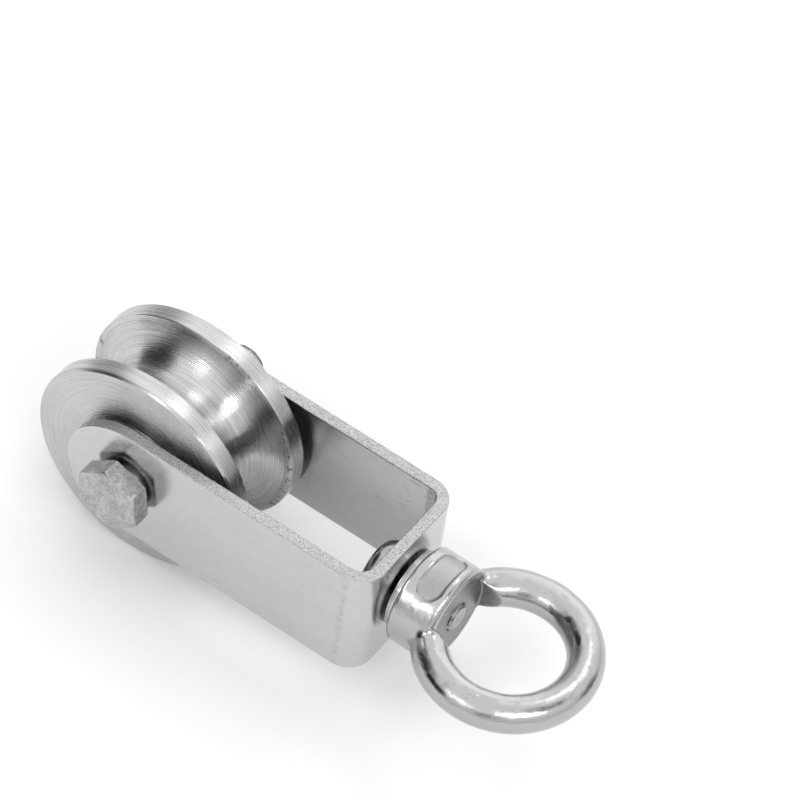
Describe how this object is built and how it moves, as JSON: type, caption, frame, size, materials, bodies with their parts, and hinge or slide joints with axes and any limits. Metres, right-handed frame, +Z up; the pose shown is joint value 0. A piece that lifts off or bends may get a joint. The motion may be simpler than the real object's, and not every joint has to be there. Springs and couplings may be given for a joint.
{
  "type": "single sheave swivel-eye block",
  "caption": "Stainless block: a grooved sheave on ball bearings in a U-shaped bracket, with a cast eye that swivels on the bracket's base.",
  "frame": {"origin": "centre of the axle, midway across the sheave", "axes": "+X along the block to the eye, +Y along the axle from the bolt head to the nut, +Z up"},
  "size_m": [0.1178, 0.0447, 0.046],
  "materials": {
    "bracket_steel": "satin polished stainless strip with rough cut edges",
    "turned_steel": "lathe-turned stainless with fine round tool marks",
    "bolt_steel": "plain stainless fastener",
    "screw_steel": "plain stainless fastener",
    "washer_steel": "plain stainless",
    "bearing_steel": "ground bearing steel",
    "pressed_steel": "pressed sheet",
    "nylon": "nylon",
    "cast_steel": "mirror polished investment casting"
  },
  "bodies": {
    "bracket": {"bracket": "bracket_steel", "axle_bolt": "bolt_steel", "lock_nut": "bolt_steel", "nut_insert": "nylon", "inner_ring_a": "bearing_steel", "inner_ring_b": "bearing_steel", "spacer_tube": "washer_steel", "side_spacer_a": "washer_steel", "side_spacer_b": "washer_steel"},
    "sheave": {"sheave": "turned_steel", "outer_ring_a": "bearing_steel", "shield_out_a": "pressed_steel", "shield_in_a": "pressed_steel", "outer_ring_b": "bearing_steel", "shield_out_b": "pressed_steel", "shield_in_b": "pressed_steel"},
    "balls_a": {"cage_a": "pressed_steel", "ball_a1": "bearing_steel", "ball_a2": "bearing_steel", "ball_a3": "bearing_steel", "ball_a4": "bearing_steel", "ball_a5": "bearing_steel", "ball_a6": "bearing_steel", "ball_a7": "bearing_steel"},
    "balls_b": {"cage_b": "pressed_steel", "ball_b1": "bearing_steel", "ball_b2": "bearing_steel", "ball_b3": "bearing_steel", "ball_b4": "bearing_steel", "ball_b5": "bearing_steel", "ball_b6": "bearing_steel", "ball_b7": "bearing_steel"},
    "eye": {"eye_nut": "cast_steel", "swivel_screw": "screw_steel", "inner_washer": "washer_steel", "outer_washer": "washer_steel"}
  },
  "joints": [
    {"name": "sheave_spin", "type": "hinge", "parent": "bracket", "child": "sheave", "pos_m": [0, 0, 0], "axis": [0, 1, 0], "continuous": true},
    {"name": "cage_a_spin", "type": "hinge", "parent": "bracket", "child": "balls_a", "pos_m": [0, -0.007, 0], "axis": [0, 1, 0], "continuous": true},
    {"name": "cage_b_spin", "type": "hinge", "parent": "bracket", "child": "balls_b", "pos_m": [0, 0.007, 0], "axis": [0, 1, 0], "continuous": true},
    {"name": "swivel", "type": "hinge", "parent": "bracket", "child": "eye", "pos_m": [0.0541, 0, 0], "axis": [1, 0, 0], "continuous": true}
  ],
  "couplings": [
    {"joint": "cage_a_spin", "follows": "sheave_spin", "ratio": 0.6323},
    {"joint": "cage_b_spin", "follows": "sheave_spin", "ratio": 0.6323}
  ]
}
